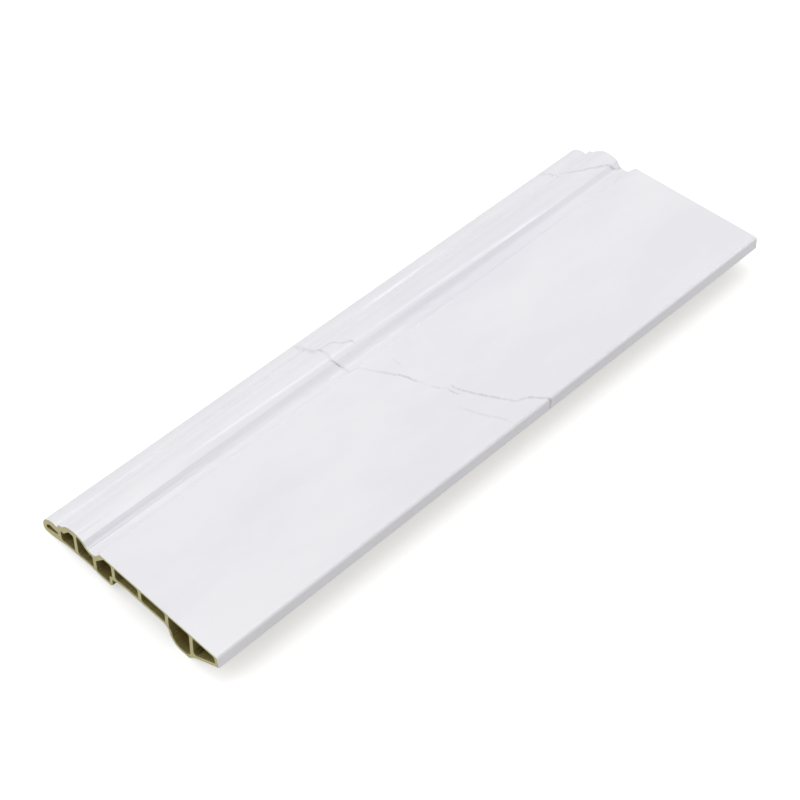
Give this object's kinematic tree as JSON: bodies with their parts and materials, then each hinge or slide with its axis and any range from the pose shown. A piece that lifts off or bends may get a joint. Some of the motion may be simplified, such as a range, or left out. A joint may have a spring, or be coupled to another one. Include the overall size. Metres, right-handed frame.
{
  "type": "skirting board",
  "caption": "Hollow moulded skirting board with a white marble-effect film over its face, lying on its back; it covers the joint between wall and floor.",
  "frame": {"origin": "middle of the underside, on the plane that the back rests on", "axes": "+X along the board, +Y across it from the bottom edge to the nose at the top edge, +Z out of the face"},
  "size_m": [0.277, 0.1, 0.017],
  "materials": {
    "composite": "matte",
    "decor_film": "satin"
  },
  "bodies": {
    "root": {"hollow_board": "composite", "face_film": "decor_film"}
  },
  "joints": []
}
